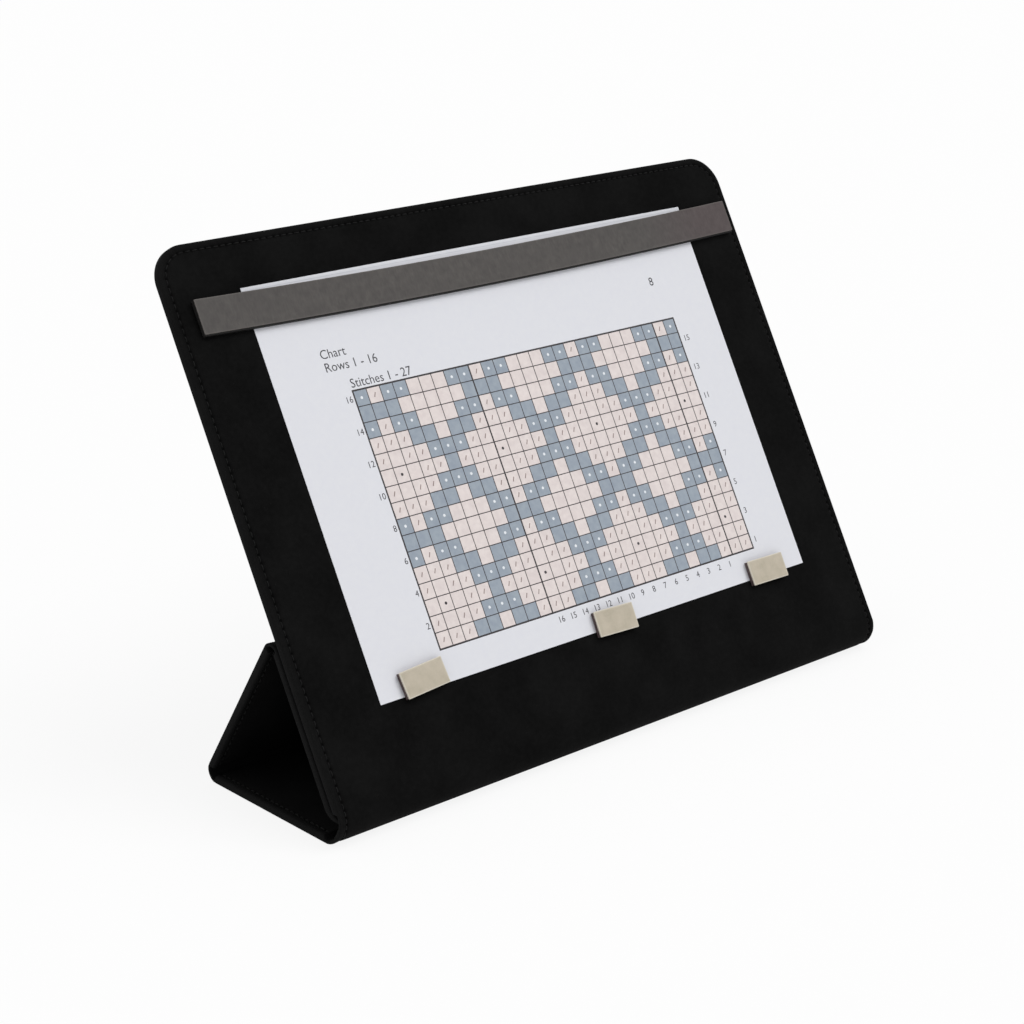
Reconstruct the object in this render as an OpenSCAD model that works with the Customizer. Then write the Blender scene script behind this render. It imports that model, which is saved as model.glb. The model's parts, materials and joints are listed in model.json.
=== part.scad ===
// Magnetic chart holder with a sliding row marker.
// A padded steel board leans on its own cover, which folds into a triangular stand.
// X runs across the board, Y runs backwards, Z is up. Millimetres.
// The origin is the middle of the base panel's underside, where it meets the desk.

/* [Board] */
// Width of the board and of its cover
board_w = 377; // [320:1:420]
// Height of the flat board, from the front fold to its top edge
board_h = 275; // [240:1:330]
// Angle between the board and the desk
lean = 61; // [56:0.5:66]
// Radius of the board's two top corners
top_corner_r = 17.5; // [10:0.5:30]
// Thickness of the stiff core inside the board
board_core_t = 2.8; // [1.5:0.1:4]
// Thickness of the soft padding under the front fabric
padding_t = 0.6; // [0.3:0.1:1.2]
// Thickness of the steel sheet that the magnets hold to
steel_t = 0.4; // [0.2:0.05:0.6]
// Distance from the board's edge to the steel sheet
steel_inset = 9; // [6:1:20]

/* [Cover] */
// Thickness of the suede-like fabric
fabric_t = 0.8; // [0.5:0.1:1.2]
// Thickness of the core in the base panel, the rear panel and the flap
panel_core_t = 2.8; // [2.2:0.1:4]
// Length of the base panel, from the front fold to the rear fold
base_len = 86; // [75:0.5:105]
// Distance up the board from its front fold to the top fold
top_fold_up = 78; // [68:0.5:100]
// Radius of the flap's two free corners
flap_corner_r = 10; // [4:1:16]
// Gap between the flap and the back of the board
flap_gap = 0.6; // [0.3:0.1:1.5]
// Outside radius of the soft front fold
front_fold_r = 13; // [11:0.5:16]
// Part of the front fold that the stiff spine strip covers, in degrees
spine_arc = 26; // [16:1:40]
// Thickness of the stiff strip in the spine
spine_core_t = 0.9; // [0.6:0.1:1.5]
// Height of the rear and top fold lines above the panels' inner faces
fold_clearance = 2; // [0.3:0.1:3]

/* [Stitching] */
// Distance from an edge to its row of stitches
stitch_inset = 4; // [3:0.5:7]
// Width of the stitched thread
thread_w = 0.7; // [0.4:0.1:1]
// Depth that the thread is pulled into the fabric
thread_sink = 0.3; // [0.2:0.05:0.4]

/* [Latch magnets] */
// Diameter of the disc magnets in the flap
latch_d = 12; // [8:1:16]
// Thickness of the disc magnets in the flap
latch_t = 1.5; // [1:0.1:2]
// Number of disc magnets in the flap
latch_count = 4; // [2:1:6]
// Radial clearance of a disc magnet in its pocket
latch_clearance = 0.1; // [0.05:0.05:0.3]
// Distance from the flap's free end to the middle of its disc magnets
latch_from_end = 35; // [20:1:50]

/* [Chart sheet] */
// Width of the paper sheet
sheet_w = 297; // [240:1:297]
// Height of the paper sheet
sheet_h = 210; // [180:1:216]
// Thickness of the paper sheet
sheet_t = 0.2; // [0.1:0.05:0.4]
// Distance from the board's left edge to the sheet
sheet_left = 41.8; // [20:0.1:60]
// Distance from the end of the front fold up to the sheet
sheet_low = 40.3; // [30:0.1:50]

/* [Row marker] */
// Length of the marker strip
marker_len = 358; // [300:1:358]
// Height of the marker strip
marker_h = 17.5; // [12:0.5:25]
// Thickness of the strip's flexible magnet
marker_magnet_t = 2.4; // [1.5:0.1:3]
// Thickness of the strip's face layer
marker_face_t = 0.6; // [0.3:0.1:1]
// Distance from the board's left edge to the strip
marker_left = 12.6; // [5:0.1:20]
// Distance from the sheet's top edge down to the strip's top edge
marker_drop = 3.4; // [0:0.1:40]
// Clearance between a magnet and the paper under it
magnet_lift = 0.15; // [0.05:0.01:0.3]

/* [Sheet magnets] */
// Length of a sheet magnet
clip_len = 26.5; // [20:0.5:35]
// Height of a sheet magnet
clip_h = 13.4; // [10:0.1:18]
// Thickness of a sheet magnet's core
clip_magnet_t = 2.2; // [1.5:0.1:3]
// Thickness of a sheet magnet's face layer
clip_face_t = 0.8; // [0.4:0.1:1]
// Distance from the sheet's left edge to the left magnet's middle
left_clip_x = 27.2; // [20:0.1:40]
// Distance from the sheet's bottom edge up to the left magnet's middle
left_clip_rise = 5.8; // [0:0.1:8]
// Tilt of the left magnet, in degrees
left_clip_tilt = 4; // [-6:0.5:6]
// Distance from the sheet's left edge to the middle magnet's middle
middle_clip_x = 153; // [120:0.1:175]
// Distance from the sheet's bottom edge up to the middle magnet's middle
middle_clip_rise = 3; // [0:0.1:8]
// Tilt of the middle magnet, in degrees
middle_clip_tilt = -2; // [-6:0.5:6]
// Distance from the sheet's left edge to the right magnet's middle
right_clip_x = 267.2; // [240:0.1:275]
// Distance from the sheet's bottom edge up to the right magnet's middle
right_clip_rise = 3; // [0:0.1:8]
// Tilt of the right magnet, in degrees
right_clip_tilt = -1; // [-6:0.5:6]

/* [Hidden] */
$fn = 96;
eps = 0.01;

// Colours
suede_black = [0.09, 0.09, 0.095];
lining_black = [0.07, 0.07, 0.075];
thread_black = [0.05, 0.05, 0.05];
card_grey = [0.55, 0.53, 0.5];
foam_white = [0.85, 0.85, 0.82];
steel_grey = [0.6, 0.61, 0.63];
paper_white = [0.88, 0.89, 0.9];
marker_grey = [0.36, 0.35, 0.34];
marker_dark = [0.16, 0.15, 0.15];
clip_beige = [0.75, 0.7, 0.61];
clip_brown = [0.42, 0.37, 0.34];

// Thickness of the board, measured back from its front face
board_t = 2 * fabric_t + padding_t + board_core_t;
panel_t = 2 * fabric_t + panel_core_t;
spine_t = 2 * fabric_t + spine_core_t;

// The front fold is a part of a cylinder that touches the desk and the board's front face.
// fold_reach is how far along each of them it touches, from the corner where they would meet.
fold_reach = front_fold_r / tan(lean / 2);
front_turn = 180 - lean;
fold_arc = (front_turn - spine_arc) / 2;

// The side view is measured from that corner: y backwards and z up.
// On the board, u runs up its front face and d is the depth behind it.
rear_axis_y = fold_reach + base_len;
rear_axis_z = panel_t + fold_clearance;
flap_outer_d = board_t + flap_gap;
top_axis_d = flap_outer_d + panel_t + fold_clearance;
top_axis_u = fold_reach + top_fold_up;
top_axis_y = top_axis_u * cos(lean) + top_axis_d * sin(lean);
top_axis_z = top_axis_u * sin(lean) - top_axis_d * cos(lean);
rear_angle = atan2(top_axis_z - rear_axis_z, rear_axis_y - top_axis_y);
rear_len = norm([top_axis_y - rear_axis_y, top_axis_z - rear_axis_z]);

// The flap ends where its corner would come near the inside of the front fold.
flap_end_clearance = 0.5;
fold_inside_r = front_fold_r - spine_t - flap_end_clearance;
flap_corner_depth = max(0, front_fold_r - flap_outer_d);
flap_end_u = fold_reach - sqrt(max(0, pow(fold_inside_r, 2) - pow(flap_corner_depth, 2)));
flap_len = top_axis_u - flap_end_u;

// The origin is the middle of the base panel
origin_y = fold_reach + base_len / 2;

board_bottom_u = fold_reach;
steel_w = board_w - 2 * steel_inset;
steel_h = board_h - 2 * steel_inset;
sheet_bottom_u = board_bottom_u + sheet_low;
marker_bottom_u = sheet_bottom_u + sheet_h - marker_drop - marker_h;
magnet_z = sheet_t + magnet_lift;
latch_y = flap_len - latch_from_end;

// The tight folds at the rear and the top, and the strip inside the front fold
fold_outer_r = panel_t + fold_clearance;
fold_t = 2 * fabric_t;
spine_end_arc = fold_arc + spine_arc;
spine_core_r = front_fold_r - fabric_t;
spine_lining_r = spine_core_r - spine_core_t;

// Heights in the board's frame, whose front face is at 0
board_back_z = -board_t;
core_back_z = board_back_z + fabric_t;
core_front_z = core_back_z + board_core_t;

// Heights in a cover panel's frame, whose fold line is at 0
panel_outer_z = -fold_clearance - panel_t;
panel_inner_z = -fold_clearance;
panel_core_z = panel_outer_z + fabric_t;
panel_lining_z = panel_inner_z - fabric_t;

// Smallest radius of a corner, and the number of steps in the wedge that cuts a ring
min_corner_r = 0.5;
wedge_steps = 4;

// Places what is drawn in the side view's corner frame
module in_world() {
    translate([-board_w / 2, -origin_y, 0]) children();
}

// x along the board, y up its front face, z out of it
module in_board() {
    in_world() rotate([lean, 0, 0]) children();
}

// y from the front fold to the rear fold line, z up from that line's height
module in_base() {
    in_world() translate([0, fold_reach, rear_axis_z]) children();
}

// y from the rear fold line to the top fold line, z into the triangle
module in_rear() {
    in_world() translate([0, rear_axis_y, rear_axis_z]) rotate([180 - rear_angle, 0, 0]) children();
}

// y from the top fold line down to the flap's free end, z into the triangle
module in_flap() {
    in_world() translate([0, top_axis_y, top_axis_z]) rotate([180 + lean, 0, 0]) children();
}

// A rectangle whose two far corners are round
module far_rounded(w, h, corner_r) {
    r = max(corner_r, min_corner_r);
    square([w, h - r]);
    translate([r, 0]) square([w - 2 * r, h]);
    translate([r, h - r]) circle(r);
    translate([w - r, h - r]) circle(r);
}

// The board's outline, drawn in by a distance at its top and sides and let out by another at the fold
module board_outline(inset, extra = 0) {
    translate([inset, board_bottom_u - extra])
        far_rounded(board_w - 2 * inset, board_h - inset + extra, top_corner_r - inset);
}

// The flap's outline, drawn in and let out in the same way
module flap_outline(inset, extra = 0) {
    translate([inset, -extra])
        far_rounded(board_w - 2 * inset, flap_len - inset + extra, flap_corner_r - inset);
}

// The outline of a panel between two folds, drawn in at its sides and let out at both folds
module panel_outline(len, inset, extra) {
    translate([inset, -extra]) square([board_w - 2 * inset, len + 2 * extra]);
}

module base_outline(inset, extra = 0) {
    panel_outline(base_len, inset, extra);
}

module rear_outline(inset, extra = 0) {
    panel_outline(rear_len, inset, extra);
}

// Lays a flat outline between two heights
module layer(z0, z1) {
    translate([0, 0, z0]) linear_extrude(height = z1 - z0) children();
}

// The band that a row of thread takes up: the first outline less the second
module thread_band() {
    difference() {
        children(0);
        children(1);
    }
}

module board_thread() {
    thread_band() {
        board_outline(stitch_inset - thread_w / 2);
        board_outline(stitch_inset + thread_w / 2, eps);
    }
}

module base_thread() {
    thread_band() {
        base_outline(stitch_inset - thread_w / 2);
        base_outline(stitch_inset + thread_w / 2, eps);
    }
}

module rear_thread() {
    thread_band() {
        rear_outline(stitch_inset - thread_w / 2);
        rear_outline(stitch_inset + thread_w / 2, eps);
    }
}

module flap_thread() {
    thread_band() {
        flap_outline(stitch_inset - thread_w / 2);
        flap_outline(stitch_inset + thread_w / 2, eps);
    }
}

// Fabric that lies on a panel's outer face and turns up its edges.
// The children are the panel's outline, its outline inside the fabric and its row of thread.
module turned_cover() {
    difference() {
        layer(panel_outer_z, panel_inner_z) children(0);
        layer(panel_core_z, panel_inner_z + eps) children(1);
        layer(panel_outer_z - eps, panel_outer_z + thread_sink) children(2);
    }
}

// Lining inside the turned edges, with a groove for its row of thread
module inner_lining() {
    difference() {
        layer(panel_lining_z, panel_inner_z) children(0);
        layer(panel_inner_z - thread_sink, panel_inner_z + eps) children(1);
    }
}

// The row of thread as it shows on both faces of a panel
module two_rows(outer_z, inner_z) {
    layer(outer_z, outer_z + thread_sink) children();
    layer(inner_z - thread_sink, inner_z) children();
}

module board_front_cover() {
    color(suede_black) in_board() difference() {
        layer(board_back_z, 0) board_outline(0);
        layer(board_back_z - eps, -fabric_t) board_outline(fabric_t, eps);
        layer(-thread_sink, eps) board_thread();
    }
}

module board_padding() {
    color(foam_white) in_board() layer(core_front_z, -fabric_t) board_outline(fabric_t);
}

module steel_outline() {
    translate([steel_inset, board_bottom_u + steel_inset]) square([steel_w, steel_h]);
}

module board_steel_sheet() {
    color(steel_grey) in_board() layer(core_front_z - steel_t, core_front_z) intersection() {
        steel_outline();
        board_outline(steel_inset);
    }
}

module board_core() {
    color(card_grey) in_board() difference() {
        layer(core_back_z, core_front_z) board_outline(fabric_t);
        layer(core_front_z - steel_t, core_front_z + eps) intersection() {
            steel_outline();
            board_outline(steel_inset);
        }
    }
}

module board_back_cover() {
    color(lining_black) in_board() difference() {
        layer(board_back_z, core_back_z) board_outline(fabric_t);
        layer(board_back_z - eps, board_back_z + thread_sink) board_thread();
    }
}

module board_stitching() {
    color(thread_black) in_board() two_rows(board_back_z, 0) board_thread();
}

module chart_sheet() {
    color(paper_white) in_board() translate([sheet_left, sheet_bottom_u])
        layer(0, sheet_t) square([sheet_w, sheet_h]);
}

module base_outer_cover() {
    color(suede_black) in_base() turned_cover() {
        base_outline(0);
        base_outline(fabric_t, eps);
        base_thread();
    }
}

module base_core() {
    color(card_grey) in_base() layer(panel_core_z, panel_lining_z) base_outline(fabric_t);
}

module base_lining() {
    color(lining_black) in_base() inner_lining() {
        base_outline(fabric_t);
        base_thread();
    }
}

module base_stitching() {
    color(thread_black) in_base() two_rows(panel_outer_z, panel_inner_z) base_thread();
}

module rear_outer_cover() {
    color(suede_black) in_rear() turned_cover() {
        rear_outline(0);
        rear_outline(fabric_t, eps);
        rear_thread();
    }
}

module rear_core() {
    color(card_grey) in_rear() layer(panel_core_z, panel_lining_z) rear_outline(fabric_t);
}

module rear_lining() {
    color(lining_black) in_rear() inner_lining() {
        rear_outline(fabric_t);
        rear_thread();
    }
}

module rear_stitching() {
    color(thread_black) in_rear() two_rows(panel_outer_z, panel_inner_z) rear_thread();
}

module flap_outer_cover() {
    color(suede_black) in_flap() turned_cover() {
        flap_outline(0);
        flap_outline(fabric_t, eps);
        flap_thread();
    }
}

// Discs in the flap, in an even row across it
module latch_discs(r, h) {
    for (i = [0 : latch_count - 1])
        translate([board_w * (i + 0.5) / latch_count, latch_y, panel_core_z]) cylinder(r = r, h = h);
}

module flap_core() {
    color(card_grey) in_flap() difference() {
        layer(panel_core_z, panel_lining_z) flap_outline(fabric_t);
        translate([0, 0, -eps]) latch_discs(latch_d / 2 + latch_clearance, latch_t + eps);
    }
}

module flap_magnets() {
    color(steel_grey) in_flap() latch_discs(latch_d / 2, latch_t);
}

module flap_lining() {
    color(lining_black) in_flap() inner_lining() {
        flap_outline(fabric_t);
        flap_thread();
    }
}

module flap_stitching() {
    color(thread_black) in_flap() two_rows(panel_outer_z, panel_inner_z) flap_thread();
}

// A part of a ring, from one angle to another
module ring_part(r0, r1, from, to) {
    intersection() {
        difference() {
            circle(r1);
            circle(r0);
        }
        polygon(concat([[0, 0]], [
            for (i = [0 : wedge_steps])
                let (angle = from + (to - from) * i / wedge_steps)
                    2 * r1 * [cos(angle), sin(angle)]
        ]));
    }
}

// Runs a side view across the whole width
module across() {
    rotate([90, 0, 90]) linear_extrude(height = board_w) children();
}

// A part of the soft front fold, counted in degrees up from the desk
module front_fold_part(r0, r1, from, to) {
    in_world() across() translate([fold_reach, front_fold_r])
        ring_part(r0, r1, -90 - to, -90 - from);
}

module spine_outer_cover() {
    color(suede_black) front_fold_part(spine_core_r, front_fold_r, fold_arc, spine_end_arc);
}

module spine_stiffener() {
    color(card_grey) front_fold_part(spine_lining_r, spine_core_r, fold_arc, spine_end_arc);
}

module spine_lining() {
    color(lining_black)
        front_fold_part(front_fold_r - spine_t, spine_lining_r, fold_arc, spine_end_arc);
}

module front_upper_fold() {
    color(suede_black) front_fold_part(front_fold_r - fold_t, front_fold_r, spine_end_arc, front_turn);
}

module front_lower_fold() {
    color(suede_black) front_fold_part(front_fold_r - fold_t, front_fold_r, 0, fold_arc);
}

// A tight fold: round about its fold line, from one panel's face to the next one's
module tight_fold(y, z, from, to) {
    in_world() across() translate([y, z])
        ring_part(fold_outer_r - fold_t, fold_outer_r, from, to);
}

module rear_fold() {
    color(suede_black) tight_fold(rear_axis_y, rear_axis_z, -90, 90 - rear_angle);
}

module top_fold() {
    color(suede_black) tight_fold(top_axis_y, top_axis_z, 90 - rear_angle, 90 + lean);
}

module marker_layer(z0, z1) {
    in_board() translate([marker_left, marker_bottom_u])
        layer(z0, z1) square([marker_len, marker_h]);
}

module marker_face() {
    color(marker_grey)
        marker_layer(magnet_z + marker_magnet_t, magnet_z + marker_magnet_t + marker_face_t);
}

module marker_magnet() {
    color(marker_dark) marker_layer(magnet_z, magnet_z + marker_magnet_t);
}

// One layer of a sheet magnet, whose middle is x from the sheet's left edge and a rise from its bottom edge
module clip_layer(x, rise, tilt, z0, z1) {
    in_board() translate([sheet_left + x, sheet_bottom_u + rise]) rotate([0, 0, tilt])
        layer(z0, z1) square([clip_len, clip_h], center = true);
}

module clip_face(x, rise, tilt) {
    color(clip_beige)
        clip_layer(x, rise, tilt, magnet_z + clip_magnet_t, magnet_z + clip_magnet_t + clip_face_t);
}

module clip_magnet(x, rise, tilt) {
    color(clip_brown) clip_layer(x, rise, tilt, magnet_z, magnet_z + clip_magnet_t);
}

module left_clip_face() {
    clip_face(left_clip_x, left_clip_rise, left_clip_tilt);
}

module left_clip_magnet() {
    clip_magnet(left_clip_x, left_clip_rise, left_clip_tilt);
}

module middle_clip_face() {
    clip_face(middle_clip_x, middle_clip_rise, middle_clip_tilt);
}

module middle_clip_magnet() {
    clip_magnet(middle_clip_x, middle_clip_rise, middle_clip_tilt);
}

module right_clip_face() {
    clip_face(right_clip_x, right_clip_rise, right_clip_tilt);
}

module right_clip_magnet() {
    clip_magnet(right_clip_x, right_clip_rise, right_clip_tilt);
}

board_front_cover();
board_padding();
board_steel_sheet();
board_core();
board_back_cover();
board_stitching();
chart_sheet();
spine_outer_cover();
spine_stiffener();
spine_lining();
base_outer_cover();
base_core();
base_lining();
base_stitching();
rear_outer_cover();
rear_core();
rear_lining();
rear_stitching();
flap_outer_cover();
flap_core();
flap_magnets();
flap_lining();
flap_stitching();
front_upper_fold();
front_lower_fold();
rear_fold();
top_fold();
marker_face();
marker_magnet();
left_clip_face();
left_clip_magnet();
middle_clip_face();
middle_clip_magnet();
right_clip_face();
right_clip_magnet();
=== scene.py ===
import json
import math

import bmesh
import bpy
import numpy as np
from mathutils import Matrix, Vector


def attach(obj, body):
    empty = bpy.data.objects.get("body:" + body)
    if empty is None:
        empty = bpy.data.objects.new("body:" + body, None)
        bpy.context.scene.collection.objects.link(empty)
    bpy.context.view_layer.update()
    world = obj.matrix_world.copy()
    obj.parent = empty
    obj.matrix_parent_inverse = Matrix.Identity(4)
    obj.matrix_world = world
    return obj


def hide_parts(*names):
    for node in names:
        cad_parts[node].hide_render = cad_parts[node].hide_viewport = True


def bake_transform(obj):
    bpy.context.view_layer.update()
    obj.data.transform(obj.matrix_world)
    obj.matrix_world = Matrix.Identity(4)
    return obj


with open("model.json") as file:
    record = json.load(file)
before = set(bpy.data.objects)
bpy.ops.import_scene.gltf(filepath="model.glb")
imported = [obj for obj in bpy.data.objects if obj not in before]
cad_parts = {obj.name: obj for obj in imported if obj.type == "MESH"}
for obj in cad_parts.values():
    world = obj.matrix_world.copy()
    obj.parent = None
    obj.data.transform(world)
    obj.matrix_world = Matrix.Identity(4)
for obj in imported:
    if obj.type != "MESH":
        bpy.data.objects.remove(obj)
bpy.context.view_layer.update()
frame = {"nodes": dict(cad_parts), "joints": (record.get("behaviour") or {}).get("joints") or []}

# Lengths are in millimetres and are turned into metres when points are placed.
MM = 0.001
NODES = frame["nodes"]
JOINTS = {j["name"]: j for j in frame["joints"]}


# ---------------------------------------------------------------- camera

PHOTO_PX = 1024
FOCAL_PX = 2371.45
SENSOR_MM = 36.0
CAMERA_YAW = math.radians(41.94)
CAMERA_PITCH = math.radians(18.47)
CAMERA_PLACE = Vector((-786.66, -839.18, 492.86)) * MM


def make_camera():
    """The camera: it looks down a little and to the right, and doesn't roll."""
    data = bpy.data.cameras.new("camera")
    data.sensor_width = SENSOR_MM
    data.lens = FOCAL_PX * SENSOR_MM / PHOTO_PX
    camera = bpy.data.objects.new("camera", data)
    bpy.context.scene.collection.objects.link(camera)
    bpy.context.scene.camera = camera
    ahead = Vector((
        math.sin(CAMERA_YAW) * math.cos(CAMERA_PITCH),
        math.cos(CAMERA_YAW) * math.cos(CAMERA_PITCH),
        -math.sin(CAMERA_PITCH),
    ))
    camera.location = CAMERA_PLACE
    camera.rotation_mode = "QUATERNION"
    camera.rotation_quaternion = ahead.to_track_quat("-Z", "Y")


# ---------------------------------------------------------------- frames of reference

def node_points(node):
    """A CAD node's own points, in millimetres."""
    return np.array([v.co for v in NODES[node].data.vertices]) / MM


def joint_point(name):
    """Where a joint is, in millimetres."""
    return np.array(JOINTS[name]["pos_m"]) / MM


def unit(v):
    return np.array(v, float) / np.linalg.norm(v)


class Plane:
    """A panel's own axes in millimetres: x across, u along it, z out of its outer face."""

    def __init__(self, along, out, node):
        self.along = np.array(along, float)
        self.out = np.array(out, float)
        p = node_points(node)
        self.left = float(p[:, 0].min())
        self.width = float(np.ptp(p[:, 0]))
        self.length = float(np.ptp(p @ self.along))
        self.thick = float(np.ptp(p @ self.out))
        self.base = self.along * (p @ self.along).min() + self.out * (p @ self.out).max()

    def place(self, points):
        """Points (x, u, z), with x from the panel's left edge, as metres in the row frame."""
        p = np.asarray(points, float)
        world = self.base + np.outer(p[:, 1], self.along) + np.outer(p[:, 2], self.out)
        world[:, 0] += p[:, 0] + self.left
        return world * MM

    def local(self, node):
        """A CAD node's points as (x, u, z) in this frame."""
        p = node_points(node)
        inner = p - self.base
        return np.column_stack([p[:, 0] - self.left, inner @ self.along, inner @ self.out])


ACROSS = np.array([1.0, 0.0, 0.0])
BOARD_UP = unit(JOINTS["marker_slide"]["axis"])
REAR_UP = unit(joint_point("flap_fold") - joint_point("stand_fold"))

board = Plane(BOARD_UP, np.cross(ACROSS, BOARD_UP), "board_front_cover")
base = Plane((0, 1, 0), (0, 0, -1), "base_outer_cover")
rear = Plane(REAR_UP, -np.cross(ACROSS, REAR_UP), "rear_outer_cover")
flap = Plane(-BOARD_UP, np.cross(ACROSS, BOARD_UP), "flap_outer_cover")


class Arc:
    """A part of a ring about a line along x: u runs round it and z points away from the line."""

    def __init__(self, centre, radius, start, end):
        self.centre = np.array(centre, float)
        self.radius = radius
        self.start = start
        self.length = radius * (end - start)

    def place(self, points):
        p = np.asarray(points, float)
        angle = self.start + p[:, 1] / self.radius
        reach = self.radius + p[:, 2]
        y = self.centre[0] + reach * np.cos(angle)
        z = self.centre[1] + reach * np.sin(angle)
        return np.column_stack([p[:, 0] + board.left, y, z]) * MM

    def ends(self, depth):
        """The points at a depth under the arc's two ends, in metres."""
        middle = board.width / 2
        return [tuple(p) for p in self.place([(middle, u, -depth) for u in (0, self.length)])]


def heading(v):
    """The direction of (y, z) as an angle."""
    return math.atan2(v[-1], v[-2])


def arc_thickness(node, centre):
    """How thick a CAD node is, measured away from a line along x."""
    reach = np.hypot(*(node_points(node)[:, 1:] - centre).T)
    return float(np.ptp(reach))


BOARD_END = board.base[1:]
BASE_END = base.base[1:]
FRONT_RADIUS = (BOARD_END[0] - BASE_END[0]) / board.out[1]
FRONT_CENTRE = BASE_END + np.array([0, FRONT_RADIUS])
FRONT_START = heading(board.out) - 2 * math.pi
FRONT_END = heading(base.out)
FOLD_SWEEP = 2 * (FRONT_END - heading(joint_point("spine_fold")[1:] - FRONT_CENTRE))
REAR_CENTRE = joint_point("stand_fold")[1:]
TOP_CENTRE = joint_point("flap_fold")[1:]
BACK_RADIUS = float(REAR_CENTRE[1] - base.base[2])

upper_arc = Arc(FRONT_CENTRE, FRONT_RADIUS, FRONT_START, FRONT_START + FOLD_SWEEP)
spine_arc = Arc(FRONT_CENTRE, FRONT_RADIUS, FRONT_START + FOLD_SWEEP, FRONT_END - FOLD_SWEEP)
lower_arc = Arc(FRONT_CENTRE, FRONT_RADIUS, FRONT_END - FOLD_SWEEP, FRONT_END)
rear_arc = Arc(REAR_CENTRE, BACK_RADIUS, heading(base.out), heading(rear.out))
top_arc = Arc(TOP_CENTRE, BACK_RADIUS, heading(rear.out), heading(flap.out))

FOLD_THICK = arc_thickness("rear_fold", REAR_CENTRE)
CORNER_BOARD = 17.5
CORNER_FLAP = 10.0


# ---------------------------------------------------------------- materials

def linear(*srgb):
    """A colour written as 0..255 sRGB, in linear light."""
    shares = [c / 255 for c in srgb]
    return [c / 12.92 if c <= 0.0404 else ((c + 0.055) / 1.055) ** 2.4 for c in shares] + [1.0]


class Finish:
    """A node material with a few short calls for noise, mixes and bumps."""

    def __init__(self, name, roughness, specular=0.5, metallic=0.0, sheen=0.0, sheen_roughness=0.5):
        self.material = bpy.data.materials.new(name)
        self.material.use_nodes = True
        self.tree = self.material.node_tree
        self.shader = self.tree.nodes["Principled BSDF"]
        settings = {
            "Roughness": roughness,
            "Specular IOR Level": specular,
            "Metallic": metallic,
            "Sheen Weight": sheen,
            "Sheen Roughness": sheen_roughness,
        }
        for socket, value in settings.items():
            self.shader.inputs[socket].default_value = value
        self.coords = self.add("ShaderNodeTexCoord").outputs["Object"]

    def add(self, kind, **inputs):
        node = self.tree.nodes.new(kind)
        for name, value in inputs.items():
            self.feed(node.inputs[name.replace("_", " ")], value)
        return node

    def feed(self, socket, value):
        if isinstance(value, bpy.types.NodeSocket):
            self.tree.links.new(value, socket)
        else:
            socket.default_value = value

    def noise(self, size_mm, detail=2.0, stretch=(1, 1, 1)):
        """Noise in blotches about size_mm across, drawn out where an axis's stretch is under 1."""
        scale = [s / (size_mm * MM) for s in stretch]
        scaled = self.add("ShaderNodeMapping", Vector=self.coords, Scale=scale)
        texture = self.add("ShaderNodeTexNoise", Vector=scaled.outputs[0], Scale=1.0, Detail=detail)
        return texture.outputs["Fac"]

    def ramp(self, value, low, high):
        """value rescaled so that low becomes 0 and high becomes 1."""
        node = self.add("ShaderNodeMapRange", Value=value, From_Min=low, From_Max=high)
        return node.outputs["Result"]

    def attribute(self, name):
        node = self.add("ShaderNodeAttribute")
        node.attribute_name = name
        return node.outputs["Fac"]

    def math(self, operation, a, b):
        node = self.add("ShaderNodeMath")
        node.operation = operation
        self.feed(node.inputs[0], a)
        self.feed(node.inputs[1], b)
        return node.outputs[0]

    def mix(self, share, a, b):
        node = self.add("ShaderNodeMix")
        node.data_type = "RGBA"
        self.feed(node.inputs["Factor"], share)
        self.feed(node.inputs[6], a)
        self.feed(node.inputs[7], b)
        return node.outputs[2]

    def mottle(self, size_mm, detail, first, second, low=0.3, high=0.7):
        """A colour that clouds between two others in blotches about size_mm across."""
        return self.mix(self.ramp(self.noise(size_mm, detail), low, high), first, second)

    def colour(self, value):
        self.feed(self.shader.inputs["Base Color"], value)

    def rough(self, value):
        self.feed(self.shader.inputs["Roughness"], value)

    def bump(self, height, depth_mm, strength=1.0):
        node = self.add("ShaderNodeBump", Height=height, Distance=depth_mm * MM, Strength=strength)
        previous = self.shader.inputs["Normal"].links
        if previous:
            self.feed(node.inputs["Normal"], previous[0].from_socket)
        self.feed(self.shader.inputs["Normal"], node.outputs["Normal"])


# How far the painted shade in the needle holes darkens the cloth.
HOLE_SHADE = 0.92


def rubbed_highlit_and_hole_shaded_cloth(f, cloth, rub_and_highlight, rub_and_highlight_tone):
    """The colour of cloth that is paler where it is rubbed and where a highlight is painted, with
    painted shade making its needle holes black.
    """
    cloth = f.mix(rub_and_highlight, cloth, rub_and_highlight_tone)
    # Painted shade: the needle holes are darkened towards black.
    return f.mix(f.math("MULTIPLY", f.attribute("hole"), HOLE_SHADE), cloth, linear(1, 1, 1))


def suede_material():
    """Black brushed suede, cloudy where the nap lies different ways."""
    f = Finish("suede", roughness=0.95, specular=0.05, sheen=0.01, sheen_roughness=0.4)
    clouds = f.ramp(f.noise(26, detail=3), 0.36, 0.66)
    specks = f.ramp(f.noise(2.4, detail=3), 0.35, 0.7)
    nap = f.noise(0.42, detail=2)
    tone = f.math("ADD", f.math("MULTIPLY", clouds, 0.6), f.math("MULTIPLY", specks, 0.4))
    cloth = f.mix(tone, linear(9, 9, 9), linear(19, 19, 19))
    # Paler where the cloth turns over an edge: rubbed nap and a painted highlight.
    rub_and_highlight = f.math("MULTIPLY", f.attribute("wear_and_highlight"), f.ramp(nap, 0.25, 0.75))
    f.colour(rubbed_highlit_and_hole_shaded_cloth(f, cloth, rub_and_highlight, linear(27, 27, 27)))
    f.bump(nap, 0.12, 0.55)
    f.bump(f.noise(3.1, detail=2), 0.16, 0.5)
    return f.material


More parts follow.
